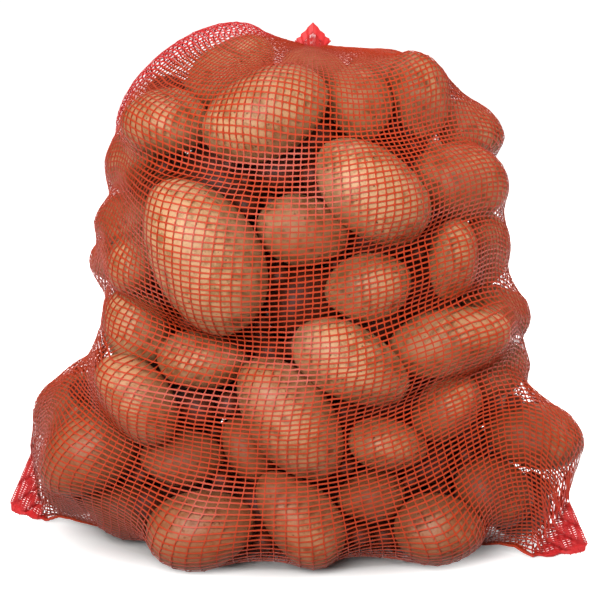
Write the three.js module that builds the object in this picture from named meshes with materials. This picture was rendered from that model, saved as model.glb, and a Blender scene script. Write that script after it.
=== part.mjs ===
// A red net sack filled with potatoes. It stands on its sewn bottom, whose two corners stick out as ears,
// and its mouth is gathered on top. Millimetres, +Z up, +X to the right and +Y away from the viewer.
// The origin is on the ground, under the middle of the sack.
import * as THREE from "three";

// Driving dimensions of the sack's sheet
const SHEET = 1.2; // the net and its slack, taken as one plain wall
const GAP = 0.4; // left between a potato and whatever it touches
const FOOTING = 2.2; // from the ground to the lowest potatoes
const COLUMNS = 56; // wall panels round the sack, half of them in front
const ROWS = 40; // wall panels from the bottom seam to the lip of the mouth
const BASE_HALF_WIDTH = 178;
const WALL_HALF_WIDTH = 150;
const WALL_HALF_DEPTH = 128;
const SHOULDER_HEIGHT = 300;

// The two sewn corners stick out as flat ears of whole panels: the tip, and the steps from knot to knot
// along the seam and up the side fold, each as across, depth and height
const EAR_PANELS = 2; // along either edge of an ear
const EAR_HALF_THICKNESS = 3;
const LEFT_EAR = { tip: [-189, 28, 6], seamStep: [13, -5.5, -3], foldStep: [8.5, -1, 20] };
const RIGHT_EAR = { tip: [182, -52, 3], seamStep: [-18, -3.5, -1.5], foldStep: [-7, 2, 16] };

// The gathered mouth, as flattened rings of knots from its neck to its lip. Ruffle is the share by which
// the pleats go in and out, and peak is how much higher a ring is in its middle than at its two ends.
const MOUTH = { across: 10, depth: 28, pleats: 8 };
const MOUTH_RINGS = [
  { rowsFromLip: 2, halfWidth: 7.5, halfDepth: 5.5, ruffle: 0.1, height: 308, peak: 0 },
  { rowsFromLip: 1, halfWidth: 9, halfDepth: 5.5, ruffle: 0.12, height: 310, peak: 6 },
  { rowsFromLip: 0, halfWidth: 10, halfDepth: 5.5, ruffle: 0.14, height: 311, peak: 11 },
];

// Potatoes that show from the front, the sides and the top. Each row holds the place of the middle
// (across, depth, height), the sizes (length, width, deep) and how many degrees the long axis rises
// to the right.
const SEEN_POTATOES = [
  [-19, -66, 278, 84, 54, 56, 30],
  [-52, -85, 198, 112, 67, 64, -63],
  [-40, -5, 296, 62, 40, 50, 35],
  [-83, -36, 267, 58, 42, 58, 5],
  [-98, -6, 238, 46, 34, 60, 60],
  [-104, -13, 210, 44, 32, 56, 20],
  [-110, 20, 174, 44, 34, 60, 10],
  [-100, -46, 181, 40, 32, 50, 75],
  [-100, -48, 148, 54, 42, 50, -70],
  [-95, -68, 105, 66, 44, 46, -52],
  [-58, -66, 126, 58, 36, 50, -5],
  [-130, -45, 64, 71, 52, 54, 35],
  [-144, 14, 77, 54, 42, 60, 40],
  [-141, 25, 21, 48, 34, 56, 10],
  [-110, -28, 24, 52, 38, 50, -20],
  [-57, -82, 28, 72, 50, 52, 8],
  [-66, -66, 62, 54, 36, 50, 0],
  [-5, -88, 95, 88, 53, 54, -53],
  [-31, -66, 72, 44, 32, 50, -60],
  [3, -88, 34, 72, 46, 46, -53],
  [29, -90, 130, 79, 46, 46, -29],
  [41, -80, 170, 54, 42, 50, 10],
  [44, -78, 233, 85, 54, 56, -38],
  [1, -66, 206, 58, 44, 50, -10],
  [14, -2, 294, 46, 30, 44, -20],
  [40, -30, 283, 50, 42, 50, -70],
  [70, -20, 283, 58, 38, 44, -75],
  [56, 24, 286, 50, 34, 44, -10],
  [98, 20, 259, 48, 34, 60, -25],
  [101, -30, 232, 62, 48, 56, -15],
  [94, -60, 189, 53, 32, 40, 85],
  [115, -20, 183, 50, 34, 56, 80],
  [122, -14, 152, 48, 32, 56, -15],
  [93, -70, 139, 80, 42, 44, 12],
  [91, -66, 99, 50, 36, 46, 45],
  [120, -24, 111, 50, 36, 56, 20],
  [55, -86, 80, 50, 34, 40, -10],
  [146, -35, 69, 64, 42, 56, -12],
  [122, -54, 43, 54, 42, 48, -25],
  [86, -75, 27, 57, 46, 50, -10],
  [46, -72, 43, 44, 32, 44, 10],
];

// Potatoes of the far side and of the right corner, which the front ones hide, with the same columns
const HIDDEN_POTATOES = [
  [-75, 60, 32, 84, 56, 62, 10],
  [4, 76, 30, 80, 54, 60, -12],
  [82, 56, 32, 86, 58, 64, 8],
  [-98, 46, 90, 60, 50, 62, 55],
  [-42, 86, 90, 88, 62, 58, -35],
  [38, 88, 94, 84, 60, 60, 40],
  [112, 40, 92, 68, 56, 66, -60],
  [-84, 70, 152, 82, 58, 60, 35],
  [-2, 94, 158, 92, 62, 56, -20],
  [82, 68, 156, 84, 60, 62, -45],
  [-84, 50, 214, 74, 56, 62, -50],
  [-10, 86, 218, 86, 60, 58, 30],
  [66, 66, 214, 84, 58, 62, 15],
  [-62, 40, 262, 62, 48, 58, 20],
  [8, 52, 266, 74, 50, 60, -15],
  [72, 40, 258, 64, 46, 56, 25],
  [140, -14, 21, 42, 38, 40, 5],
];

// The empty lobe at the top left stands away from the potatoes, as the rounded form that it closes over,
// with the same columns
const SLACK_LOBE = [-64, 4, 283, 112, 60, 48, 38];

const NET_RED = 0xd8402f;
const POTATO_TAN = 0xb98a54;

/** One egg-like form: its place, its half sizes and how much thicker one end is than the other. */
class Form {
  constructor([across, depth, height, length, width, deep, tilt], index) {
    this.home = new THREE.Vector3(across, depth, height);
    this.middle = this.home.clone();
    this.half = new THREE.Vector3(length, deep, width).multiplyScalar(0.5);
    this.turn = new THREE.Quaternion().setFromAxisAngle(
      new THREE.Vector3(0, -1, 0),
      THREE.MathUtils.degToRad(tilt),
    );
    this.back = this.turn.clone().invert();
    this.taper = 0.1 * Math.sin(2.4 * index);
    this.reach = Math.max(length, width, deep) / 2;
  }

  /** How far a point lies outside the form (negative inside), with the way out written to wayOut. */
  distance(point, wayOut) {
    const spot = point.clone().sub(this.middle).applyQuaternion(this.back);
    const { x: halfLength, y: halfDeep, z: halfWidth } = this.half;
    const girth = 1 + this.taper * THREE.MathUtils.clamp(spot.x / halfLength, -1, 1);
    const scaled = new THREE.Vector3(
      spot.x / halfLength,
      spot.y / (halfDeep * girth),
      spot.z / (halfWidth * girth),
    );
    const size = Math.max(scaled.length(), 1e-6);
    wayOut.set(
      scaled.x / halfLength,
      scaled.y / (halfDeep * girth),
      scaled.z / (halfWidth * girth),
    );
    const slope = Math.max(wayOut.length() / size, 1e-6);
    wayOut.normalize().applyQuaternion(this.turn);
    return (size - 1) / slope;
  }

  /** The form's faceted surface, about its own middle. */
  geometry() {
    const ball = new THREE.IcosahedronGeometry(1, 1);
    const place = ball.getAttribute("position");
    const corner = new THREE.Vector3();
    for (let i = 0; i < place.count; i++) {
      corner.fromBufferAttribute(place, i);
      const girth = 1 + this.taper * corner.x;
      corner.multiply(this.half).multiply(new THREE.Vector3(1, girth, girth));
      corner.applyQuaternion(this.turn);
      place.setXYZ(i, corner.x, corner.y, corner.z);
    }
    return ball;
  }

  /** The triangles of the faceted surface where it lies. */
  triangles() {
    const place = this.geometry().getAttribute("position");
    const corner = (i) => new THREE.Vector3().fromBufferAttribute(place, i).add(this.middle);
    const triangles = [];
    for (let i = 0; i < place.count; i += 3) {
      triangles.push(new THREE.Triangle(corner(i), corner(i + 1), corner(i + 2)));
    }
    return triangles;
  }

  /** The corners of the faceted surface where they lie, each once. */
  corners() {
    const seen = new Map();
    for (const { a, b, c } of this.triangles()) {
      for (const corner of [a, b, c]) {
        const key = corner.toArray().map((value) => value.toFixed(2)).join();
        seen.set(key, corner);
      }
    }
    return [...seen.values()];
  }
}

/** Eases potatoes apart until none bites into another or the ground, and keeps them near their places. */
function settle(potatoes) {
  const ROUNDS = 260;
  const FREE_ROUNDS = 80; // the last rounds only part them
  const HOMING = 0.04;
  const SHARE = new THREE.Vector3(0.35, 0.6, 0.35); // they give way in depth more than across the view
  const shells = potatoes.map((potato) => potato.corners().map((corner) => corner.sub(potato.middle)));
  const wayOut = new THREE.Vector3();
  const point = new THREE.Vector3();
  for (let round = 0; round < ROUNDS; round++) {
    for (const [i, potato] of potatoes.entries()) {
      for (const [j, other] of potatoes.entries()) {
        if (i === j || potato.middle.distanceTo(other.middle) > potato.reach + other.reach) continue;
        let deepest = GAP;
        const push = new THREE.Vector3();
        for (const corner of shells[i]) {
          const clear = other.distance(point.copy(potato.middle).add(corner), wayOut);
          if (clear < deepest) {
            deepest = clear;
            push.copy(wayOut);
          }
        }
        push.multiplyScalar(GAP - deepest).multiply(SHARE);
        potato.middle.add(push);
        other.middle.sub(push);
      }
      if (round < ROUNDS - FREE_ROUNDS) potato.middle.lerp(potato.home, HOMING);
      const lowest = Math.min(...shells[i].map((corner) => corner.z));
      potato.middle.z = Math.max(potato.middle.z, FOOTING - lowest);
    }
  }
}

/** The number of the knot at a column and row: the seam's knots serve the front and the back alike. */
function knotAt(column, row) {
  const half = COLUMNS / 2;
  const wrapped = ((column % COLUMNS) + COLUMNS) % COLUMNS;
  if (row === 0) return wrapped <= half ? wrapped : COLUMNS - wrapped;
  return half + 1 + (row - 1) * COLUMNS + wrapped;
}

/** A loose start for the sack: out from the seam over the ground, up the wall and in to the mouth. */
function looseSack() {
  const BASE_ROWS = 7;
  const SHOULDER_ROW = 32;
  const knots = [];
  const held = new Set();
  const ring = (column, halfWidth, halfDepth) => {
    const angle = Math.PI + (2 * Math.PI * column) / COLUMNS;
    return new THREE.Vector3(halfWidth * Math.cos(angle), halfDepth * Math.sin(angle), 0);
  };
  const neck = new THREE.Vector3(MOUTH.across, MOUTH.depth, MOUTH_RINGS[0].height);
  for (let row = 0; row <= ROWS; row++) {
    for (let column = 0; column < COLUMNS; column++) {
      let knot;
      if (row <= BASE_ROWS) {
        knot = ring(column, BASE_HALF_WIDTH, (WALL_HALF_DEPTH * row) / BASE_ROWS);
      } else if (row <= SHOULDER_ROW) {
        const rise = (row - BASE_ROWS) / (SHOULDER_ROW - BASE_ROWS);
        knot = ring(column, THREE.MathUtils.lerp(BASE_HALF_WIDTH, WALL_HALF_WIDTH, rise), WALL_HALF_DEPTH);
        knot.z = SHOULDER_HEIGHT * rise;
      } else {
        const inward = (row - SHOULDER_ROW) / (ROWS - SHOULDER_ROW);
        knot = ring(column, WALL_HALF_WIDTH, WALL_HALF_DEPTH);
        knot.z = SHOULDER_HEIGHT;
        knot.lerp(neck, inward);
      }
      knots[knotAt(column, row)] = knot;
    }
  }
  for (const { rowsFromLip, halfWidth, halfDepth, ruffle, height, peak } of MOUTH_RINGS) {
    for (let column = 0; column < COLUMNS; column++) {
      const turn = (2 * Math.PI * column) / COLUMNS;
      const pleated = 1 + ruffle * Math.cos(MOUTH.pleats * turn);
      const rise = height + peak * (1 - Math.abs(Math.cos(turn)));
      const number = knotAt(column, ROWS - rowsFromLip);
      knots[number] = ring(column, halfWidth * pleated, halfDepth * pleated);
      knots[number].add(new THREE.Vector3(MOUTH.across, MOUTH.depth, rise));
      held.add(number);
    }
  }
  for (const [corner, inward, ear] of [[0, 1, LEFT_EAR], [COLUMNS / 2, -1, RIGHT_EAR]]) {
    for (let alongSeam = 0; alongSeam <= EAR_PANELS; alongSeam++) {
      for (let alongFold = 0; alongSeam + alongFold <= EAR_PANELS; alongFold++) {
        for (const side of [-1, 1]) {
          const place = new THREE.Vector3(...ear.tip);
          place.addScaledVector(new THREE.Vector3(...ear.seamStep), alongSeam);
          place.addScaledVector(new THREE.Vector3(...ear.foldStep), alongFold);
          if (alongSeam > 0 && alongFold > 0) place.y += side * EAR_HALF_THICKNESS;
          const number = knotAt(corner - side * inward * alongSeam, alongFold);
          knots[number] = place;
          held.add(number);
        }
      }
    }
  }
  return { knots, held };
}

/** The two triangles of each panel: split from the tip at an ear, and else along the shorter diagonal. */
function panels(knots) {
  const half = COLUMNS / 2;
  const triangles = [];
  for (let row = 0; row < ROWS; row++) {
    for (let column = 0; column < COLUMNS; column++) {
      const a = knotAt(column, row);
      const b = knotAt(column + 1, row);
      const c = knotAt(column + 1, row + 1);
      const d = knotAt(column, row + 1);
      let fromA = knots[a].distanceTo(knots[c]) < knots[b].distanceTo(knots[d]);
      if (row === 0 && column % half === 0) fromA = true;
      if (row === 0 && column % half === half - 1) fromA = false;
      if (fromA) triangles.push([a, b, c], [a, c, d]);
      else triangles.push([a, b, d], [b, c, d]);
    }
  }
  return triangles;
}

/** Spaces the knots of each upright thread evenly from the seam to the neck. */
function spaceEvenly(knots, held) {
  const neckRow = ROWS - MOUTH_RINGS[0].rowsFromLip;
  for (let column = 0; column < COLUMNS; column++) {
    const thread = [];
    for (let row = 0; row <= neckRow; row++) thread.push(knots[knotAt(column, row)].clone());
    const along = [0];
    for (let row = 1; row <= neckRow; row++) {
      along.push(along[row - 1] + thread[row].distanceTo(thread[row - 1]));
    }
    let before = 0;
    for (let row = 1; row < neckRow; row++) {
      const wanted = (along[neckRow] * row) / neckRow;
      while (along[before + 1] < wanted) before++;
      const share = (wanted - along[before]) / (along[before + 1] - along[before]);
      const number = knotAt(column, row);
      if (!held.has(number)) knots[number].lerpVectors(thread[before], thread[before + 1], share);
    }
  }
}

/** Draws the loose sack tight over the forms inside it, and lets it sink to the ground under its load. */
function drawTight({ knots, held }, forms) {
  const ROUNDS = 420;
  const CLEARING_ROUNDS = 60; // the last rounds only lift the net off the forms
  const ALONG = 0.5; // pull of the upright threads
  const AROUND = 1.5; // pull of the level threads
  const WEIGHT = 0.5; // how far a knot sinks in a round
  const FLAT_BELOW = 2.5; // what comes lower than this and faces down lies flat on the ground
  const FACES_DOWN = -0.5;
  const clearance = SHEET + GAP;
  const neighbours = knots.map(() => new Map());
  const join = (a, b, pull) => {
    neighbours[a].set(b, pull);
    neighbours[b].set(a, pull);
  };
  for (let row = 0; row <= ROWS; row++) {
    for (let column = 0; column < COLUMNS; column++) {
      join(knotAt(column, row), knotAt(column + 1, row), AROUND);
      if (row < ROWS) join(knotAt(column, row), knotAt(column, row + 1), ALONG);
    }
  }
  const wayOut = new THREE.Vector3();
  const spot = new THREE.Vector3();
  const lift = (numbers) => {
    spot.set(0, 0, 0);
    for (const number of numbers) spot.addScaledVector(knots[number], 1 / numbers.length);
    for (const form of forms) {
      if (spot.distanceTo(form.middle) > form.reach + 2 * clearance) continue;
      const short = clearance - form.distance(spot, wayOut);
      if (short <= 0) continue;
      for (const number of numbers) {
        if (!held.has(number)) knots[number].addScaledVector(wayOut, short);
      }
      spot.addScaledVector(wayOut, short);
    }
  };
  for (let round = 0; round < ROUNDS; round++) {
    if (round < ROUNDS - CLEARING_ROUNDS) {
      const before = knots.map((knot) => knot.clone());
      for (const [number, around] of neighbours.entries()) {
        if (held.has(number)) continue;
        const mean = new THREE.Vector3();
        let total = 0;
        for (const [next, pull] of around) {
          mean.addScaledVector(before[next], pull);
          total += pull;
        }
        knots[number].copy(mean.divideScalar(total));
        knots[number].z -= WEIGHT;
      }
      spaceEvenly(knots, held);
    }
    for (const number of knots.keys()) lift([number]);
    for (const [a, b, c] of panels(knots)) {
      lift([a, b]);
      lift([b, c]);
      lift([c, a]);
      lift([a, b, c]);
    }
    for (const knot of knots) knot.z = Math.max(knot.z, 0);
  }
  const ways = facing(knots, panels(knots));
  for (const [number, knot] of knots.entries()) {
    if (knot.z < FLAT_BELOW && ways[number].z < FACES_DOWN) knot.z = 0;
  }
}

/** The way that each knot faces, as the mean of the panels round it. */
function facing(knots, triangles) {
  const ways = knots.map(() => new THREE.Vector3());
  const triangle = new THREE.Triangle();
  const normal = new THREE.Vector3();
  for (const [a, b, c] of triangles) {
    triangle.set(knots[a], knots[b], knots[c]).getNormal(normal);
    for (const number of [a, b, c]) ways[number].addScaledVector(normal, triangle.getArea());
  }
  return ways.map((way) => way.normalize());
}

/** The knots of the wall's inside, one sheet in from those of its outside. */
function insideOf(knots, triangles) {
  const ways = facing(knots, triangles);
  const inside = knots.map((knot, number) => knot.clone().addScaledVector(ways[number], -SHEET));
  // Along the seam and round the ears both panels are sewn together, so the inside ends short of the edge.
  const endShort = (edge, front, back) => {
    inside[edge].copy(inside[front]).add(inside[back]).multiplyScalar(0.5).lerp(knots[edge], 0.5);
  };
  for (let column = 0; column <= COLUMNS / 2; column++) {
    endShort(knotAt(column, 0), knotAt(column, 1), knotAt(COLUMNS - column, 1));
  }
  for (const corner of [0, COLUMNS / 2]) {
    for (let row = EAR_PANELS; row >= 0; row--) {
      endShort(knotAt(corner, row), knotAt(corner + 1, row), knotAt(corner - 1, row));
    }
  }
  return inside;
}

/** The sack's wall as one closed body, its inside joined to its outside round the lip. */
function wallGeometry(outside, inside, triangles) {
  const count = outside.length;
  const faces = [];
  for (const [a, b, c] of triangles) faces.push(a, b, c, count + a, count + c, count + b);
  for (let column = 0; column < COLUMNS; column++) {
    const a = knotAt(column, ROWS);
    const b = knotAt(column + 1, ROWS);
    faces.push(a, b, count + b, a, count + b, count + a);
  }
  const geometry = new THREE.BufferGeometry().setFromPoints([...outside, ...inside]);
  geometry.setIndex(faces);
  return geometry;
}

/** The shortest way from some corners to some triangles, or null where that is longer than the limit. */
function shortestWay(corners, triangles, limit) {
  const touch = new THREE.Vector3();
  let shortest = null;
  for (const corner of corners) {
    for (const triangle of triangles) {
      triangle.closestPointToPoint(corner, touch);
      const length = touch.distanceTo(corner);
      if (length < (shortest?.length() ?? limit)) shortest = touch.clone().sub(corner);
    }
  }
  return shortest;
}

/** Moves the potatoes, in turn, to the wall or to one already seated, until only the gap is left. */
function seat(potatoes, wall) {
  const FAR = 12; // what is further off than this is left out of the search
  const STEPS = 4; // a potato that another one stops on the way tries again
  const seated = [];
  for (const potato of potatoes) {
    const near = (point, reach) => point.distanceTo(potato.middle) < potato.reach + reach + FAR;
    const others = potatoes.filter((other) => other !== potato && near(other.middle, other.reach));
    const nearWall = wall.filter((triangle) => near(triangle.a, FAR));
    for (let step = 0; step < STEPS; step++) {
      const ways = [[null, shortestWay(potato.corners(), nearWall, FAR)]];
      for (const other of others) {
        ways.push([other, shortestWay(potato.corners(), other.triangles(), FAR)]);
        ways.push([other, shortestWay(other.corners(), potato.triangles(), FAR)?.negate()]);
      }
      const found = ways.filter(([, way]) => way).sort(([, one], [, two]) => one.length() - two.length());
      const target = found.find(([other]) => other === null || seated.includes(other));
      const room = found[0][1].length() - GAP;
      potato.middle.addScaledVector(target[1].clone().normalize(), room);
    }
    seated.push(potato);
  }
}

const potatoes = [...SEEN_POTATOES, ...HIDDEN_POTATOES].map((row, index) => new Form(row, index));
settle(potatoes);
const sack = looseSack();
drawTight(sack, [...potatoes, new Form(SLACK_LOBE, 0)]);
const triangles = panels(sack.knots);
const inside = insideOf(sack.knots, triangles);
seat(
  potatoes,
  triangles.map(([a, b, c]) => new THREE.Triangle(inside[a], inside[b], inside[c])),
);

const group = new THREE.Group();
const netting = new THREE.MeshStandardMaterial({ color: NET_RED, roughness: 0.5, metalness: 0 });
const sackMesh = new THREE.Mesh(wallGeometry(sack.knots, inside, triangles), netting);
sackMesh.name = "net_sack";
group.add(sackMesh);
for (const [index, potato] of potatoes.entries()) {
  const skin = new THREE.MeshStandardMaterial({ color: POTATO_TAN, roughness: 0.6, metalness: 0 });
  const mesh = new THREE.Mesh(potato.geometry(), skin);
  mesh.name = `potato_${String(index + 1).padStart(2, "0")}`;
  mesh.position.copy(potato.middle);
  group.add(mesh);
}

export default group;
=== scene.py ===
import math

import bmesh
import bpy
import numpy as np
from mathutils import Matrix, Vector
from mathutils.bvhtree import BVHTree


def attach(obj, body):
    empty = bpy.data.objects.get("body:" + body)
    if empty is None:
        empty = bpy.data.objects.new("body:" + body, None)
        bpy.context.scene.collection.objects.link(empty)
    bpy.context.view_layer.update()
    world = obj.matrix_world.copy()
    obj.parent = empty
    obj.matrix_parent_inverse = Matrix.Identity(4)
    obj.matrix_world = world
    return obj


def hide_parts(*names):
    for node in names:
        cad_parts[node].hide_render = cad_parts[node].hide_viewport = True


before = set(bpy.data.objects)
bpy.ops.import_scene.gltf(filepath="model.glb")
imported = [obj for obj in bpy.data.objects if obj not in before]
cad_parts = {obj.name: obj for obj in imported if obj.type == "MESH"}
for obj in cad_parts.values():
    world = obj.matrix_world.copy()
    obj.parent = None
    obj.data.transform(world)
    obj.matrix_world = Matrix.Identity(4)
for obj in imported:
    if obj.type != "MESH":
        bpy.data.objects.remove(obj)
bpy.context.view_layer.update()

# Potatoes: table potatoes with a thin tan skin. They lie loose in the sack, each where its solid lies, with
# the flat spots, the bumps and the eyes that a solid of few faces leaves out. The lowest ones, those deepest
# in the heap and those of the core are painted browner and redder: painted shade, with a painted red cast.
MM = 0.001
TUBER_FINENESS = 5  # how often the faces of the ball that a potato is pressed from are divided
# The shares of painted shade on a potato by its height and by its distance from the sack's middle plane
PAINTED_SHADE_HEIGHTS, PAINTED_SHADE_BELOW = [20 * MM, 60 * MM, 160 * MM], [0.65, 0.5, 0]
PAINTED_SHADE_DEPTHS, PAINTED_SHADE_WITHIN = [60 * MM, 88 * MM], [0.22, 0]
potato_nodes = sorted(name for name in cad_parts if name.startswith("potato_"))


def egg_of(node):
    """The middle, the own axes, the half sizes and the taper of a potato's solid."""
    WAIST = 0.9  # share of the half length within which the taper is read
    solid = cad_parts[node].data
    corners = np.empty(3 * len(solid.vertices))
    solid.vertices.foreach_get("co", corners)
    corners = np.unique(corners.reshape(-1, 3).round(6), axis=0)  # each once, though many faces meet in it
    middle = corners.mean(axis=0)
    from_middle = corners - middle
    from_front = from_middle[:, [0, 2]]
    across, up = np.linalg.eigh(from_front.T @ from_front)[1][:, 1]
    axes = np.array([[across, 0, up], [0, 1, 0], [-up, 0, across]])
    local = from_middle @ axes.T
    half = abs(local).max(axis=0)
    along = local[:, 0] / half[0]
    waist = abs(along) < WAIST
    girth = np.linalg.norm(local[waist, 1:] / half[1:], axis=1) / np.sqrt(1 - along[waist] ** 2)
    taper = (along[waist] * (girth - 1)).sum() / (along[waist] ** 2).sum()
    return middle, axes, half, taper


class Heap:
    """Potatoes by number: where each lies, its sizes, and how far its skin lies inside its plain egg form."""

    BUMPS, FLATS, EYES = 3, 4, 7
    BUMP_DEPTH, FLAT_DEPTH, EYE_DEPTH = 0.012, 0.07, 0.035  # as shares of the half sizes
    BUMP_WAVES = 2.2  # how closely the bumps follow each other
    FLAT_EDGE = 0.62  # cosine of the angle at which a flat spot ends
    FLAT_SHARES, FLAT_CURVE = (0.2, 1), 1.5  # least and most of the full depth, and how the edge runs out
    EYE_ANGLE = 0.13
    LEAST_GIRTH = 0.5  # so that the taper never runs to nothing far beyond a potato's end

    def __init__(self, eggs):
        self.middle, self.axes, self.half, self.taper = (np.array(column) for column in zip(*eggs))
        own = []
        for number in range(len(eggs)):
            chance = np.random.default_rng(number)
            bump_ways = chance.normal(0, self.BUMP_WAVES, (self.BUMPS, 3))
            bump_starts = chance.uniform(0, 2 * math.pi, self.BUMPS)
            flat_ways = chance.normal(size=(self.FLATS, 3))
            flat_depths = chance.uniform(*self.FLAT_SHARES, self.FLATS) * self.FLAT_DEPTH
            eye_ways = chance.normal(size=(self.EYES, 3))
            own.append([bump_ways, bump_starts, flat_ways, flat_depths, eye_ways])
        columns = (np.array(column) for column in zip(*own))
        self.bump_ways, self.bump_starts, flat_ways, self.flat_depths, eye_ways = columns
        self.flat_ways = flat_ways / np.linalg.norm(flat_ways, axis=2, keepdims=True)
        self.eye_ways = eye_ways / np.linalg.norm(eye_ways, axis=2, keepdims=True)

    def inset(self, ways, which):
        """The share by which the skin lies inside the egg form, in ways out from the potatoes' middles."""
        bumps = np.einsum("nkj,nj->nk", self.bump_ways[which], ways) + self.bump_starts[which]
        flats = np.einsum("nkj,nj->nk", self.flat_ways[which], ways)
        pressed = np.clip((flats - self.FLAT_EDGE) / (1 - self.FLAT_EDGE), 0, 1) ** self.FLAT_CURVE
        inset = self.BUMP_DEPTH * (1 + np.sin(bumps)).sum(axis=1)
        return inset + (self.flat_depths[which] * pressed).sum(axis=1)

    def eyes(self, ways, number):
        """How deep in an eye each way out from one potato's middle comes, from 0 to 1."""
        angles = np.arccos(np.clip(ways @ self.eye_ways[number].T, -1, 1))
        return np.exp(-((angles / self.EYE_ANGLE) ** 2)).max(axis=1)

    def holds(self, spot):
        """Whether a spot lies within the plain egg form of one of the potatoes."""
        local = np.einsum("nij,nj->ni", self.axes, spot - self.middle) / self.half
        local[:, 1:] /= np.maximum(1 + self.taper * local[:, 0], self.LEAST_GIRTH)[:, None]
        return (np.linalg.norm(local, axis=1) < 1).any()

    def model(self, name, numbers, fineness, painted_shade):
        """A piece made of some of the potatoes, one round ball each, pressed to its form."""
        bm = bmesh.new()
        eye_layer, painted_shade_layer = bm.verts.layers.float.new("eye"), bm.verts.layers.float.new("painted_shade")
        for number, fine in zip(numbers, fineness):
            ball = bmesh.ops.create_icosphere(bm, subdivisions=fine, radius=1)["verts"]
            ways = np.array([corner.co for corner in ball])
            ways /= np.linalg.norm(ways, axis=1, keepdims=True)
            eyes = self.eyes(ways, number)
            skin = 1 - self.inset(ways, np.full(len(ways), number)) - self.EYE_DEPTH * eyes
            local = ways * self.half[number] * skin[:, None]
            local[:, 1:] *= 1 + self.taper[number] * ways[:, :1]
            places = self.middle[number] + local @ self.axes[number]
            for corner, place, eye in zip(ball, places, eyes):
                corner.co = place
                corner[eye_layer], corner[painted_shade_layer] = eye, painted_shade
        for face in bm.faces:
            face.smooth = True
        mesh = bpy.data.meshes.new(name)
        bm.to_mesh(mesh)
        bm.free()
        piece = bpy.data.objects.new(name, mesh)
        bpy.context.collection.objects.link(piece)
        return piece


def linear(hex_colour):
    """An sRGB hex colour as linear red, green, blue and alpha."""
    parts = [int(hex_colour[i:i + 2], 16) / 255 for i in (1, 3, 5)]
    return [p / 12.92 if p <= 0.04045 else ((p + 0.055) / 1.055) ** 2.4 for p in parts] + [1]


def add_node(tree, kind, inputs, **settings):
    """Adds a node with its settings; each input is a value, or the output that feeds it."""
    node = tree.nodes.new(kind)
    for name, value in settings.items():
        setattr(node, name, value)
    for key, value in inputs.items():
        if isinstance(value, bpy.types.NodeSocket):
            tree.links.new(value, node.inputs[key])
        else:
            node.inputs[key].default_value = value
    return node


# Potato skin: thin corky skin, brushed and dry, so it is dull with a faint waxy shine. It is tan, darker in
# its eyes and on rough patches, and dotted with small brown pores. Painted shade turns it red-brown.
TONE_SIZE, PATCH_SIZE, PORE_SPACING, GRAIN_SIZE = 38 * MM, 11 * MM, 6 * MM, 1.6 * MM
SKIN_RELIEF = 0.6 * MM
SHARE, BELOW, ABOVE, MIXED = 0, 6, 7, 2  # the inputs and the output of a Mix node that mixes colours
potato_skin = bpy.data.materials.new("potato_skin_brushed")
potato_skin.use_nodes = True
skin_tree = potato_skin.node_tree
skin_shader = skin_tree.nodes["Principled BSDF"]
on_skin = add_node(skin_tree, "ShaderNodeTexCoord", {}).outputs["Object"]
tone = add_node(skin_tree, "ShaderNodeTexNoise", {"Vector": on_skin, "Scale": 1 / TONE_SIZE, "Detail": 2})
tans = add_node(skin_tree, "ShaderNodeValToRGB", {"Fac": tone.outputs["Fac"]})
for stop, position, colour in zip(tans.color_ramp.elements, (0.3, 0.72), ("#b3825a", "#d9ab7c")):
    stop.position = position
    stop.color = linear(colour)
patches = add_node(
    skin_tree,
    "ShaderNodeTexNoise",
    {"Vector": on_skin, "Scale": 1 / PATCH_SIZE, "Detail": 10, "Roughness": 0.72},
)
rough_patch = add_node(
    skin_tree,
    "ShaderNodeMapRange",
    {"Value": patches.outputs["Fac"], "From Min": 0.46, "From Max": 0.64, "To Max": 0.85},
    interpolation_type="SMOOTHSTEP",
)
pores = add_node(skin_tree, "ShaderNodeTexVoronoi", {"Vector": on_skin, "Scale": 1 / PORE_SPACING})
pore = add_node(
    skin_tree,
    "ShaderNodeMapRange",
    {"Value": pores.outputs["Distance"], "From Min": 0.07, "From Max": 0.15, "To Min": 0.8, "To Max": 0},
    interpolation_type="SMOOTHSTEP",
)
eye_share = add_node(skin_tree, "ShaderNodeAttribute", {}, attribute_name="eye")
eye_depth = add_node(
    skin_tree,
    "ShaderNodeMapRange",
    {"Value": eye_share.outputs["Fac"], "From Min": 0.45, "To Max": 0.75},
)
skin_colour = tans.outputs["Color"]
for mark, colour in ((rough_patch, "#83582a"), (pore, "#5e3d1c"), (eye_depth, "#4f3318")):
    marked = add_node(
        skin_tree,
        "ShaderNodeMix",
        {SHARE: mark.outputs[0], BELOW: skin_colour, ABOVE: linear(colour)},
        data_type="RGBA",
    )
    skin_colour = marked.outputs[MIXED]
# Painted shade: each potato's share of it, set on its points, mixes the skin towards darker red-browns
painted_shade_share = add_node(skin_tree, "ShaderNodeAttribute", {}, attribute_name="painted_shade")
painted_shade_browns = add_node(skin_tree, "ShaderNodeValToRGB", {"Fac": painted_shade_share.outputs["Fac"]})
for stop, position, colour in zip(painted_shade_browns.color_ramp.elements, (0.5, 1), ("#a04a22", "#582410")):
    stop.position = position
    stop.color = linear(colour)
skin_with_painted_shade = add_node(
    skin_tree,
    "ShaderNodeMix",
    {SHARE: painted_shade_share.outputs["Fac"], BELOW: skin_colour, ABOVE: painted_shade_browns.outputs["Color"]},
    data_type="RGBA",
)
skin_tree.links.new(skin_with_painted_shade.outputs[MIXED], skin_shader.inputs["Base Color"])
grain = add_node(
    skin_tree,
    "ShaderNodeTexNoise",
    {"Vector": on_skin, "Scale": 1 / GRAIN_SIZE, "Detail": 3},
)
relief = add_node(
    skin_tree,
    "ShaderNodeMath",
    {0: grain.outputs["Fac"], 1: pore.outputs[0]},
    operation="SUBTRACT",
)
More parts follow.
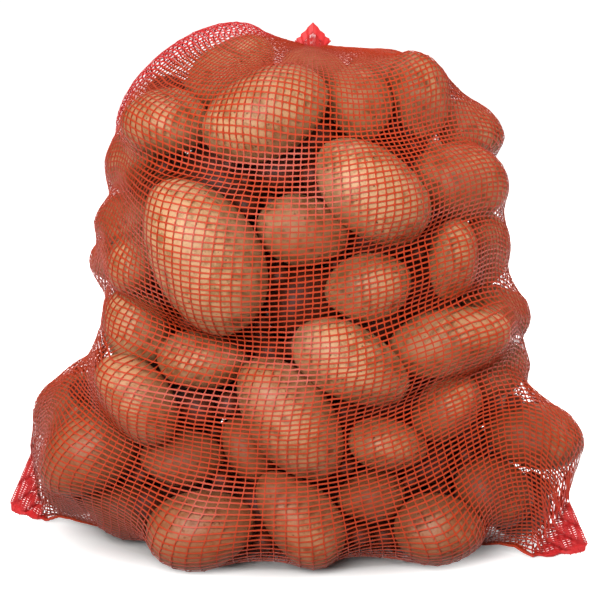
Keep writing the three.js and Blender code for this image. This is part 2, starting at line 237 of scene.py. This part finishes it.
skin_bump = add_node(
    skin_tree,
    "ShaderNodeBump",
    {"Height": relief.outputs[0], "Strength": 0.6, "Distance": SKIN_RELIEF},
)
skin_tree.links.new(skin_bump.outputs["Normal"], skin_shader.inputs["Normal"])
dullness = add_node(
    skin_tree,
    "ShaderNodeMapRange",
    {"Value": patches.outputs["Fac"], "From Min": 0.35, "From Max": 0.7, "To Min": 0.45, "To Max": 0.7},
)
skin_tree.links.new(dullness.outputs[0], skin_shader.inputs["Roughness"])
skin_shader.inputs["IOR"].default_value = 1.45

heap = Heap([egg_of(node) for node in potato_nodes])
tubers = []
for number, node in enumerate(potato_nodes):
    _, depth, height = heap.middle[number]
    # painted shade: more on the lowest potatoes and on those deep in the heap
    painted_shade = np.interp(height, PAINTED_SHADE_HEIGHTS, PAINTED_SHADE_BELOW) + np.interp(abs(depth), PAINTED_SHADE_DEPTHS, PAINTED_SHADE_WITHIN)
    piece = heap.model(node.replace("potato", "tuber"), [number], [TUBER_FINENESS], painted_shade)
    piece.data.materials.append(potato_skin)
    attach(piece, "root")
    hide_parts(node)
    tubers.append(piece)

# The sack: one length of leno net of red polyethylene tape, folded and sewn to a flat bag. The filled sack
# draws the net tight over the potatoes, its load presses the bottom on the ground, and its mouth is gathered
# on top.
PAIRS, LEVELS = 168, 144  # upright pairs of threads round the sack, level threads up it
COARSER = 3  # the net is first spread with this many times fewer threads
SPREAD_ROUNDS, DRAW_ROUNDS = 200, 300
NET_CLEARANCE = 0.8 * MM  # from the skin to the middle of the level threads
NET_LOWEST = 1.1 * MM
NET_UNEVEN = 0.12 * MM
BASE_SHARE, SHOULDER_SHARE = 0.23, 0.77  # of the way from the seam to the lip
BASE_HALF_WIDTH, WALL_HALF_WIDTH, WALL_HALF_DEPTH, SHOULDER_HEIGHT = 178 * MM, 150 * MM, 128 * MM, 300 * MM
MOUTH_ACROSS, MOUTH_DEPTH, MOUTH_ROWS, PLEATS = 10 * MM, 28 * MM, 3, 14
NECK = {"wide": 7.5 * MM, "deep": 5.5 * MM, "ruffle": 0.05, "height": 308 * MM, "peak": 0}
LIP = {"wide": 10 * MM, "deep": 1.8 * MM, "ruffle": 0.07, "height": 311 * MM, "peak": 11 * MM}
# The ears, in mm: the tip of each, and the way from it along the seam and up the fold
LEFT_EAR = {"tip": (-188, 28, 7), "seam": (26, -11, -5), "fold": (17, -2, 40), "pairs": 12, "levels": 33}
RIGHT_EAR = {"tip": (182, -52, 4), "seam": (-36, -7, -2.5), "fold": (-14, 4, 32), "pairs": 12, "levels": 30}
EAR_BULGE, EAR_BLUNT = 5 * MM, 0.1
EAR_CREASE, EAR_CREASES = 2.2 * MM, 2.5  # how deep and how many
EAR_END = 1.001  # shares along the seam and up the fold that together end an ear, with room for rounding
LAYER_SHIFT = 0.25  # of a mesh, so that one layer of an ear shows between the threads of the other
# Rounded forms in mm and degrees, each by its middle, its length, depth and height and its tilt: the heap in
# the rough, which the net is spread over, and the empty lobe at the top left with the hollow in front of it,
# which no potato fills
HEAP = [(0, 0, 72, 336, 232, 140, 0), (2, 0, 186, 268, 224, 262, 0)]
SLACK = [(-64, 4, 283, 112, 48, 60, 38), (-64, -42, 274, 56, 40, 36, 40)]
LOBE_FINENESS = 5
SPINE = 70 * MM, 205 * MM  # heights of the line that the net is drawn in towards
FAR_OUT = 0.4  # metres from that line, outside all of the sack
LEAST_FACING = 0.35  # where a skin slants more than this to the way in, the clearance grows no further
LEVEL_FALL = 0.01  # a way that falls less than this never meets the ground
# How hard the level threads pull against the upright ones: evenly while the net is spread. While it is drawn
# in, by the share of the way from the seam to the lip, most round the wall and least at the bottom
SPREAD_PULL = 2
DRAW_STOPS, DRAW_PULLS = [0.22, 0.38, 0.5, 0.7, 0.85], [0.4, 18, 18, 6, 1.5]


def unit(ways):
    """The ways, each with a length of 1."""
    return ways / np.maximum(np.linalg.norm(ways, axis=-1, keepdims=True), 1e-9)


def rounded_form(across, depth, height, length, deep, high, tilt):
    """The middle, the axes and the half sizes of a rounded form."""
    cos, sin = math.cos(math.radians(tilt)), math.sin(math.radians(tilt))
    axes = np.array([[cos, 0, sin], [0, 1, 0], [-sin, 0, cos]])
    return np.array([across, depth, height]) * MM, axes, np.array([length, deep, high]) / 2 * MM


def loose_sack(coarser):
    """A loose start: from the seam out over the ground, up the wall and in to the mouth; and what is held."""
    pairs, levels = PAIRS // coarser, LEVELS // coarser
    share = np.linspace(0, 1, levels + 1)[:, None]
    turn = 2 * math.pi * np.arange(pairs) / pairs
    stops = [0, BASE_SHARE, SHOULDER_SHARE, 1]
    wide = np.interp(share, stops, [BASE_HALF_WIDTH, BASE_HALF_WIDTH, WALL_HALF_WIDTH, 0])
    deep = np.interp(share, stops, [0, WALL_HALF_DEPTH, WALL_HALF_DEPTH, 0])
    rise = np.interp(share, stops, [0, 0, SHOULDER_HEIGHT, NECK["height"]])
    inward = np.interp(share, stops, [0, 0, 0, 1])
    knots = np.stack(
        [
            inward * MOUTH_ACROSS - wide * np.cos(turn),
            inward * MOUTH_DEPTH - deep * np.sin(turn),
            rise + 0 * turn,
        ],
        axis=2,
    )
    held = np.zeros((levels + 1, pairs), bool)
    for row in range(MOUTH_ROWS + 1):
        size = {key: NECK[key] + (LIP[key] - NECK[key]) * row / MOUTH_ROWS for key in NECK}
        pleated = 1 + size["ruffle"] * np.cos(PLEATS * turn)
        ring = knots[levels - MOUTH_ROWS + row]
        ring[:, 0] = MOUTH_ACROSS - size["wide"] * pleated * np.cos(turn)
        ring[:, 1] = MOUTH_DEPTH - size["deep"] * pleated * np.sin(turn)
        ring[:, 2] = size["height"] + size["peak"] * (1 - abs(np.cos(turn)))
    held[levels - MOUTH_ROWS:] = True
    for corner, facing, ear in ((0, 1, LEFT_EAR), (pairs // 2, -1, RIGHT_EAR)):
        tip, seam, fold = (np.array(ear[key]) * MM for key in ("tip", "seam", "fold"))
        ear_columns, ear_rows = ear["pairs"] // coarser, ear["levels"] // coarser
        for row in range(ear_rows + 1):
            for column in range(ear_columns + 1):
                along, up = column / ear_columns, row / ear_rows
                if along + up > EAR_END:
                    continue
                blunt = max(EAR_BLUNT - along - up, 0) / 2
                along, up = along + blunt, up + blunt
                crease = EAR_CREASE * math.sin(2 * math.pi * EAR_CREASES * (along - up))
                crease *= min(2 * (along + up), 1)  # it runs out at the tip
                bulge = 4 * along * up * EAR_BULGE
                for side in (-1, 1):
                    pair = (corner - side * facing * column) % pairs
                    shift = side * LAYER_SHIFT / ear_rows * min(column, row, 1)
                    knots[row, pair] = tip + (along + shift) * seam + (up + shift) * fold
                    knots[row, pair, 1] += side * bulge + crease
                    held[row, pair] = True
    return knots, held


def pull(knots, around):
    """Where each knot goes when the threads that meet in it pull; row 0 is the seam of front and back."""
    below = np.concatenate([knots[1:2, -np.arange(knots.shape[1])], knots[:-1]])
    above = np.concatenate([knots[1:], knots[-1:]])
    beside = np.roll(knots, 1, axis=1) + np.roll(knots, -1, axis=1)
    return (around * beside + below + above) / (2 * around + 2)


def spread(knots, held, rounds):
    """Spreads the net evenly over the rough heap."""
    neck = len(knots) - 1 - MOUTH_ROWS
    rough_heap = [rounded_form(*sizes) for sizes in HEAP + SLACK[:1]]
    for _ in range(rounds):
        pulled = pull(knots, SPREAD_PULL)
        for column in range(knots.shape[1]):
            first = max(held[:neck, column].sum() - 1, 0)
            line = pulled[first:neck + 1, column]
            run = np.concatenate([[0], np.linalg.norm(np.diff(line, axis=0), axis=1).cumsum()])
            even = np.linspace(0, run[-1], len(run))
            line[:] = np.stack([np.interp(even, run, axis) for axis in line.T], axis=1)
        for middle, axes, half in rough_heap:
            local = (pulled - middle) @ axes.T
            size = np.linalg.norm(local / half, axis=2, keepdims=True)
            pulled = np.where(size < 1, middle + local / np.maximum(size, 1e-6) @ axes, pulled)
        pulled[..., 2] = np.maximum(pulled[..., 2], NET_LOWEST)
        knots = np.where(held[..., None], knots, pulled)
    return knots


def finer(knots):
    """A coarse net's knots, spread over the threads of the full one."""
    rows, columns = np.arange(LEVELS + 1) / COARSER, np.arange(PAIRS) / COARSER
    row, column = np.minimum(rows.astype(int), len(knots) - 2), columns.astype(int)
    row_share, column_share = (rows - row)[:, None, None], (columns - column)[None, :, None]
    ringed = np.concatenate([knots, knots[:, :1]], axis=1)
    between = ringed[:, column] * (1 - column_share) + ringed[:, column + 1] * column_share
    return between[row] * (1 - row_share) + between[row + 1] * row_share


def draw_in(knots, held, forms, rounds):
    """Draws the knots straight in until the net is tight and lies on the potatoes and on the ground."""
    hub = np.zeros_like(knots)
    hub[..., 2] = np.clip(knots[..., 2], *SPINE)
    ways = unit(knots - hub)
    reach = np.linalg.norm(knots - hub, axis=2)
    least = np.zeros_like(reach)
    for index in np.ndindex(reach.shape):
        way = Vector(ways[index])
        skin, normal, _, distance = forms.ray_cast(Vector(hub[index]) + FAR_OUT * way, -way, FAR_OUT)
        if skin is not None:
            least[index] = FAR_OUT - distance + NET_CLEARANCE / max(normal.dot(way), LEAST_FACING)
    rise = ways[..., 2]
    to_ground = (NET_LOWEST - hub[..., 2]) / np.minimum(rise, -LEVEL_FALL)
    most = np.where(rise < -LEVEL_FALL, to_ground, FAR_OUT)
    around = np.interp(np.linspace(0, 1, len(knots)), DRAW_STOPS, DRAW_PULLS)[:, None, None]
    for _ in range(rounds):
        reach += ((pull(knots, around) - knots) * ways).sum(axis=2)
        reach = np.minimum(np.maximum(reach, least), most)
        knots = np.where(held[..., None], knots, hub + reach[..., None] * ways)
    for index in zip(*np.nonzero(~held)):
        skin, normal, _, _ = forms.find_nearest(Vector(knots[index]))
        gap = (Vector(knots[index]) - skin).dot(normal)
        knots[index] += np.array(normal) * max(NET_CLEARANCE - gap, 0)
    knots[..., 2] = np.maximum(knots[..., 2], NET_LOWEST)
    return knots


bm = bmesh.new()
for piece in tubers:
    bm.from_mesh(piece.data)
skins = BVHTree.FromBMesh(bm)
for middle, axes, half in (rounded_form(*sizes) for sizes in SLACK):
    ball = bmesh.ops.create_icosphere(bm, subdivisions=LOBE_FINENESS, radius=1)["verts"]
    for corner in ball:
        corner.co = middle + (np.array(corner.co) * half) @ axes
skins_and_lobe = BVHTree.FromBMesh(bm)
bm.free()
spread_knots = spread(*loose_sack(COARSER), SPREAD_ROUNDS)
knots, held = loose_sack(1)
knots = np.where(held[..., None], knots, finer(spread_knots))
knots = draw_in(knots, held, skins_and_lobe, DRAW_ROUNDS)
knots += np.where(held[..., None], 0, np.random.default_rng(1).normal(0, NET_UNEVEN, knots.shape))
ahead = unit(np.roll(knots, -1, axis=1) - np.roll(knots, 1, axis=1))
upward = unit(np.gradient(knots, axis=0))
out = unit(np.cross(ahead, upward))

# Threads of the net: flat tapes. A level thread passes between the two threads of each upright pair, and the
# two cross between one level thread and the next, which is what keeps a leno net from slipping.
LEVEL_WIDTH, UPRIGHT_WIDTH, TAPE = 1.0 * MM, 0.54 * MM, 0.16 * MM
CROSSING = 0.28 * MM  # to either side of the pair's middle line
OVER = 0.22 * MM  # from the middle of the level threads to that of the threads over and under them
# The reach of the painted backlight, crimson on the tape where it hangs free, and how softly it fades in
LOBE_REACH, PAINTED_BACKLIGHT_ROUNDS = 1.08, 6  # how near to the empty lobe the net is slack, and how softly that begins
CROWDED = 4 * MM  # upright threads that the mouth gathers closer than this are folded narrower
NARROWEST = 0.3  # share of its width that such a thread keeps at least


def tape_piece(name, lines, across, out, painted_backlight, closed):
    """A piece of flat tapes along lines of points, with half their width and half their thickness given."""
    count, points = lines.shape[:2]
    corners = np.stack(
        [lines - across - out, lines + across - out, lines + across + out, lines - across + out],
        axis=2,
    )
    number = np.arange(count * points * 4).reshape(count, points, 4)
    start = number if closed else number[:, :-1]
    end = np.roll(number, -1, axis=1) if closed else number[:, 1:]
    faces = np.stack([start, np.roll(start, -1, axis=2), np.roll(end, -1, axis=2), end], 3).reshape(-1, 4)
    if not closed:
        faces = np.concatenate([faces, number[:, 0, ::-1], number[:, -1]])
    mesh = bpy.data.meshes.new(name)
    mesh.from_pydata(corners.reshape(-1, 3), [], faces)
    steps = np.linalg.norm(np.diff(lines, axis=1, append=lines[:, :1]), axis=2)
    run = np.concatenate([np.zeros((count, 1)), steps.cumsum(axis=1)], axis=1)
    begin, finish = run[:, :start.shape[1]], run[:, 1:start.shape[1] + 1]
    sides = np.arange(4) * LEVEL_WIDTH
    along = np.stack([begin, begin, finish, finish], 2)[:, :, None, :] + np.zeros((1, 1, 4, 1))
    around = np.stack([sides, sides + LEVEL_WIDTH, sides + LEVEL_WIDTH, sides], 1) + np.zeros_like(along)
    uv = np.stack([along, around], axis=4).reshape(-1, 2)
    if not closed:
        uv = np.concatenate([uv, np.zeros((8 * count, 2))])  # the two ends of each tape
    mesh.uv_layers.new(name="tape").data.foreach_set("uv", uv.ravel().astype(np.float32))
    # each point's share of painted backlight crimson
    painted_backlight_layer = mesh.attributes.new("painted_backlight", "FLOAT", "POINT")
    painted_backlight_layer.data.foreach_set("value", np.repeat(painted_backlight, 4).astype(np.float32))
    mesh.materials.append(net_tape)
    piece = bpy.data.objects.new(name, mesh)
    bpy.context.collection.objects.link(piece)
    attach(piece, "root")
    return piece


# Polyethylene tape: extruded, slit and stretched film, red right through, so it has a plastic's soft gloss
# with fine streaks along it. Over the tan skins it is orange-red. Where it hangs free of them it is painted
# crimson, a painted stand-in for the light that shines through the tape there.
STREAK_LENGTH, STREAK_WIDTH, STREAK_RELIEF = 12 * MM, 0.25 * MM, 0.05 * MM
net_tape = bpy.data.materials.new("polyethylene_tape_red")
net_tape.use_nodes = True
tape_tree = net_tape.node_tree
tape_shader = tape_tree.nodes["Principled BSDF"]
along_tape = add_node(tape_tree, "ShaderNodeTexCoord", {}).outputs["UV"]
stretched = add_node(
    tape_tree,
    "ShaderNodeMapping",
    {"Vector": along_tape, "Scale": (1 / STREAK_LENGTH, 1 / STREAK_WIDTH, 1)},
)
streaks = add_node(
    tape_tree,
    "ShaderNodeTexNoise",
    {"Vector": stretched.outputs[0], "Scale": 1, "Detail": 2},
)
reds = add_node(
    tape_tree,
    "ShaderNodeMix",
    {SHARE: streaks.outputs["Fac"], BELOW: linear("#ac2e13"), ABOVE: linear("#ce4a20")},
    data_type="RGBA",
)
# Painted light: where the net hangs free of the skins its red is mixed towards crimson
painted_backlight_share = add_node(tape_tree, "ShaderNodeAttribute", {}, attribute_name="painted_backlight")
painted_backlight_colour = add_node(
    tape_tree,
    "ShaderNodeMix",
    {SHARE: painted_backlight_share.outputs["Fac"], BELOW: reds.outputs[MIXED], ABOVE: linear("#d93436")},
    data_type="RGBA",
)
tape_tree.links.new(painted_backlight_colour.outputs[MIXED], tape_shader.inputs["Base Color"])
streak_bump = add_node(
    tape_tree,
    "ShaderNodeBump",
    {"Height": streaks.outputs["Fac"], "Strength": 0.3, "Distance": STREAK_RELIEF},
)
tape_tree.links.new(streak_bump.outputs["Normal"], tape_shader.inputs["Normal"])
tape_shader.inputs["Roughness"].default_value = 0.45
tape_shader.inputs["IOR"].default_value = 1.53
tape_shader.inputs["Specular IOR Level"].default_value = 0.3

# Painted backlight: the mouth, the ears and the net over the empty lobe, away from the skins, are painted
# crimson, softened over a few threads
lobe_middle, lobe_axes, lobe_half = rounded_form(*SLACK[0])
on_lobe = np.linalg.norm((knots - lobe_middle) @ lobe_axes.T / lobe_half, axis=2) < LOBE_REACH
off_skin = [skins.find_nearest(Vector(knot))[3] > 2 * NET_CLEARANCE for knot in knots.reshape(-1, 3)]
painted_backlight = (held | on_lobe & np.reshape(off_skin, held.shape)).astype(float)[..., None]
for _ in range(PAINTED_BACKLIGHT_ROUNDS):
    painted_backlight = pull(painted_backlight, 1)
painted_backlight = painted_backlight[..., 0]
spacing = np.linalg.norm(np.roll(knots, -1, axis=1) - knots, axis=2)
crowd = np.clip(spacing / CROWDED, NARROWEST, 1)[..., None]
crowd[:int(SHOULDER_SHARE * LEVELS)] = 1
level_threads = tape_piece(
    "net_level_threads",
    knots[1:],
    (unit(np.cross(out, ahead)) * LEVEL_WIDTH / 2)[1:],
    (out * TAPE / 2)[1:],
    painted_backlight[1:],
    closed=True,
)
crossing = np.where(np.arange(LEVELS + 1) % 2, CROSSING, -CROSSING)[:, None, None] * ahead * crowd
for name, over in (("net_crossing_threads", 1), ("net_standing_threads", -1)):
    lines = (knots + over * (out * OVER + crossing)).transpose(1, 0, 2)
    sideways = unit(np.cross(out.transpose(1, 0, 2), unit(np.gradient(lines, axis=1))))
    width = crowd.transpose(1, 0, 2) * UPRIGHT_WIDTH
    half_thick = out.transpose(1, 0, 2) * TAPE / 2
    tape_piece(name, lines, sideways * width / 2, half_thick, painted_backlight.T, closed=False)

# The hem of the mouth, where the net is turned over and sewn, and the bottom seam, where both edges are
# rolled together and closed with a thread that winds round them.
HEM_WIDTH, HEM = 5 * MM, 0.9 * MM
SEAM_WIDTH, SEAM, STITCH, STITCH_STEP = 3.6 * MM, 1.4 * MM, 0.5 * MM, 3.5 * MM
STITCH_POINTS = 8  # in each turn of the thread
SEAM_LIFT = 1.3 * STITCH  # keeps the winding thread off the ground
lip = knots[-1:] - upward[-1:] * HEM_WIDTH / 3  # most of the hem lies below the last level thread
tape_piece("mouth_hem", lip, -upward[-1:] * HEM_WIDTH / 2, out[-1:] * HEM / 2, painted_backlight[-1:], closed=True)
seam = knots[:1, :PAIRS // 2 + 1].copy()
seam_way = unit(np.gradient(seam, axis=1))
ear_ends = [0, LEFT_EAR["pairs"], PAIRS // 2 - RIGHT_EAR["pairs"], PAIRS // 2]
upright = np.interp(np.arange(PAIRS // 2 + 1), ear_ends, [1, 0, 0, 1])
top = np.array([0, 0, 1.0])
seam_side = unit(unit(np.cross(top, seam_way)) * (1 - upright)[None, :, None] + top * upright[None, :, None])
seam_up = unit(np.cross(seam_way, seam_side))
seam_height = abs(seam_side[..., 2]) * SEAM_WIDTH / 2 + abs(seam_up[..., 2]) * SEAM / 2 + SEAM_LIFT
seam[..., 2] = np.maximum(seam[..., 2], seam_height)
seam_painted_backlight = painted_backlight[:1, :PAIRS // 2 + 1]
tape_piece("bottom_seam", seam, seam_side * SEAM_WIDTH / 2, seam_up * SEAM / 2, seam_painted_backlight, closed=False)
run = np.concatenate([[0], np.linalg.norm(np.diff(seam[0], axis=0), axis=1).cumsum()])
turns = np.arange(0, run[-1] / STITCH_STEP, 1 / STITCH_POINTS)
wound, wound_side, wound_up = (
    np.stack([np.interp(turns * STITCH_STEP, run, vectors[0, :, axis]) for axis in range(3)], axis=1)
    for vectors in (seam, seam_side, seam_up)
)
angle = (2 * math.pi * turns)[:, None]
beside_seam = wound_side * np.cos(angle) * (SEAM_WIDTH + STITCH) / 2
over_seam = wound_up * np.sin(angle) * (SEAM + STITCH) / 2
stitch = wound + beside_seam + over_seam
stitch_out = unit(stitch - wound)
stitch_side = unit(np.cross(stitch_out, np.gradient(stitch, axis=0)))
stitch_painted_backlight = np.interp(turns * STITCH_STEP, run, seam_painted_backlight[0])[None]
half_wide, half_thick = stitch_side[None] * STITCH / 2, stitch_out[None] * STITCH / 2
tape_piece("seam_thread", stitch[None], half_wide, half_thick, stitch_painted_backlight, closed=False)

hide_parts("net_sack")

# The core of the heap: more potatoes of the same kind, which show only as dark forms in the gaps between the
# outer ones, their skins painted the darkest brown as painted shade. Each next one lies where there is the
# most room left inside the net.
CORE_GRID, CORE_TOP = 5 * MM, 290 * MM
CORE_LARGEST, CORE_SMALLEST, CORE_GAP = 32 * MM, 6.5 * MM, 1.5 * MM
CORE_NET_GAP = 4 * NET_CLEARANCE
CORE_DEPTH, CORE_LOW = 25 * MM, 60 * MM  # how far behind the front net it stays, above about this height
CORE_FRONT = 1.5  # how soon a wall that turns to the front counts as the front
CORE_DEEP, CORE_HIGH = (0.88, 1), (0.85, 0.95)  # least and most shares of a potato's length
CORE_LARGE = 16 * MM  # from this half length on a potato gets more faces


def clipped(share):
    """The share, held between 0 and 1."""
    return min(max(share, 0), 1)


knot_number = np.arange(knots.shape[0] * PAIRS).reshape(-1, PAIRS)
next_number = np.roll(knot_number, -1, axis=1)
cells = np.stack([knot_number[:-1], next_number[:-1], next_number[1:], knot_number[1:]], axis=2)
all_knots = knots.reshape(-1, 3)
net_wall = BVHTree.FromPolygons(all_knots.tolist(), cells.reshape(-1, 4).tolist())
lowest, highest = all_knots.min(axis=0), all_knots.max(axis=0)
highest[2] = CORE_TOP
steps = [np.arange(start, end, CORE_GRID) for start, end in zip(lowest, highest)]
spots, room = [], []
for spot in np.stack(np.meshgrid(*steps, indexing="ij"), axis=-1).reshape(-1, 3):
    place, hub = Vector(spot), Vector((0, 0, min(max(spot[2], SPINE[0]), SPINE[1])))
    if net_wall.ray_cast(hub, (place - hub).normalized(), (place - hub).length)[0] is not None:
        continue  # outside the net
    if heap.holds(spot):
        continue
    _, _, _, gap = skins.find_nearest(place)
    _, net_way, _, net_gap = net_wall.find_nearest(place)
    behind = CORE_DEPTH * clipped(-CORE_FRONT * net_way.y) * clipped(place.z / CORE_LOW - 0.5)
    spots.append(spot)
    room.append(min(gap, net_gap - CORE_NET_GAP - behind))
spots, room = np.array(spots), np.array(room)
core_eggs = []
chance = np.random.default_rng(7)
while room.max() > CORE_SMALLEST:
    middle = spots[room.argmax()]
    reach = min(room.max() - CORE_GAP, CORE_LARGEST)
    turned = chance.uniform(0, math.pi)
    cos, sin = math.cos(turned), math.sin(turned)
    axes = np.array([[cos, sin, 0], [-sin, cos, 0], [0, 0, 1]])
    half = reach * np.array([1, chance.uniform(*CORE_DEEP), chance.uniform(*CORE_HIGH)])
    core_eggs.append((middle, axes, half, 0))
    room = np.minimum(room, np.linalg.norm(spots - middle, axis=1) - reach)
core = Heap(core_eggs)
core_fineness = np.where(core.half[:, 0] > CORE_LARGE, 3, 2)
# full painted shade: the core's skins take the darkest red-brown
core_piece = core.model("core_tubers", range(len(core_eggs)), core_fineness, 1)
core_piece.data.materials.append(potato_skin)
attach(core_piece, "root")

# Studio: a white floor, a softbox in front and weaker ones beside and behind, a wide light overhead and a
# faint sky. The floor glows white round the sack, not under it, and throws no light back, so that the gaps
# stay dark.
FLOOR_HALF = 8  # metres, as all sizes of the studio are
SHADED_WIDE, SHADED_DEEP = 0.135, 0.09  # half sizes of the oval under the sack that doesn't glow
bm = bmesh.new()
bmesh.ops.create_grid(bm, x_segments=1, y_segments=1, size=FLOOR_HALF)
floor_mesh = bpy.data.meshes.new("floor")
bm.to_mesh(floor_mesh)
bm.free()
floor = bpy.data.objects.new("floor", floor_mesh)
floor.visible_diffuse = False
bpy.context.collection.objects.link(floor)
floor_paint = bpy.data.materials.new("floor_paint_white")
floor_paint.use_nodes = True
floor_tree = floor_paint.node_tree
floor_shader = floor_tree.nodes["Principled BSDF"]
floor_shader.inputs["Base Color"].default_value = linear("#f8f8f6")
floor_shader.inputs["Roughness"].default_value = 0.8
floor_shader.inputs["Emission Color"].default_value = linear("#ffffff")
on_floor = add_node(floor_tree, "ShaderNodeTexCoord", {}).outputs["Object"]
oval = add_node(
    floor_tree,
    "ShaderNodeMapping",
    {"Vector": on_floor, "Scale": (1 / SHADED_WIDE, 1 / SHADED_DEEP, 0)},
)
away = add_node(floor_tree, "ShaderNodeVectorMath", {0: oval.outputs[0]}, operation="LENGTH")
glow = add_node(
    floor_tree,
    "ShaderNodeMapRange",
    {"Value": away.outputs["Value"], "From Min": 0.9, "From Max": 1.15, "To Max": 0.55},
)
floor_tree.links.new(glow.outputs[0], floor_shader.inputs["Emission Strength"])
floor_mesh.materials.append(floor_paint)

world = bpy.data.worlds.new("studio")
world.use_nodes = True
sky_tree = world.node_tree
sky = sky_tree.nodes["Background"]
sky_way = add_node(sky_tree, "ShaderNodeTexCoord", {}).outputs["Generated"]
sky_height = add_node(sky_tree, "ShaderNodeSeparateXYZ", {"Vector": sky_way}).outputs["Z"]
dome = add_node(sky_tree, "ShaderNodeMapRange", {"Value": sky_height, "From Max": 0.2, "To Max": 0.3})
sky_tree.links.new(dome.outputs[0], sky.inputs["Strength"])
sky.inputs["Color"].default_value = linear("#ffffff")
bpy.context.scene.world = world
bpy.context.scene.view_settings.view_transform = "Standard"

sun = bpy.data.lights.new("overhead", "SUN")
sun.energy = 1.0
sun.angle = math.radians(20)
overhead = bpy.data.objects.new("overhead", sun)
overhead.rotation_mode = "QUATERNION"
overhead.rotation_quaternion = Vector((0.1, -0.15, -1)).to_track_quat("-Z", "Y")
bpy.context.collection.objects.link(overhead)

# Each softbox: where it stands, the height it is aimed at, its width, its strength, whether skins mirror it
SOFTBOXES = {
    "front_softbox": ((-0.32, -1.02, 0.58), 0.22, 0.7, 14.5, True),
    "side_softbox": ((1.0, 0.05, 0.55), 0.15, 0.8, 6, False),
    "back_softbox": ((0.2, 1.0, 0.7), 0.15, 0.8, 11, False),
}
for name, (stand, aim_height, width, strength, mirrored) in SOFTBOXES.items():
    lamp = bpy.data.lights.new(name, "AREA")
    lamp.shape = "DISK"
    lamp.size = width
    lamp.energy = strength
    softbox = bpy.data.objects.new(name, lamp)
    softbox.location = stand
    softbox.visible_glossy = mirrored
    softbox.rotation_mode = "QUATERNION"
    softbox.rotation_quaternion = (Vector((0, 0, aim_height)) - softbox.location).to_track_quat("-Z", "Y")
    bpy.context.collection.objects.link(softbox)

# Camera: straight in front of the sack and a little above it, as the photograph was taken
ELEVATION, DISTANCE, AIM = math.radians(12), 1.7, Vector((0, 0, 0.151))
FRAME, PIXEL, SHIFT = 600, 0.63 * MM, 3  # pixels across the picture, the size of one, and the shift in pixels
camera = bpy.data.objects.new("camera", bpy.data.cameras.new("camera"))
camera.data.lens = camera.data.sensor_width * DISTANCE / (FRAME * PIXEL)
camera.data.shift_x = SHIFT / FRAME
camera.location = AIM + DISTANCE * Vector((0, -math.cos(ELEVATION), math.sin(ELEVATION)))
camera.rotation_mode = "QUATERNION"
camera.rotation_quaternion = (AIM - camera.location).to_track_quat("-Z", "Y")
bpy.context.collection.objects.link(camera)
bpy.context.scene.camera = camera
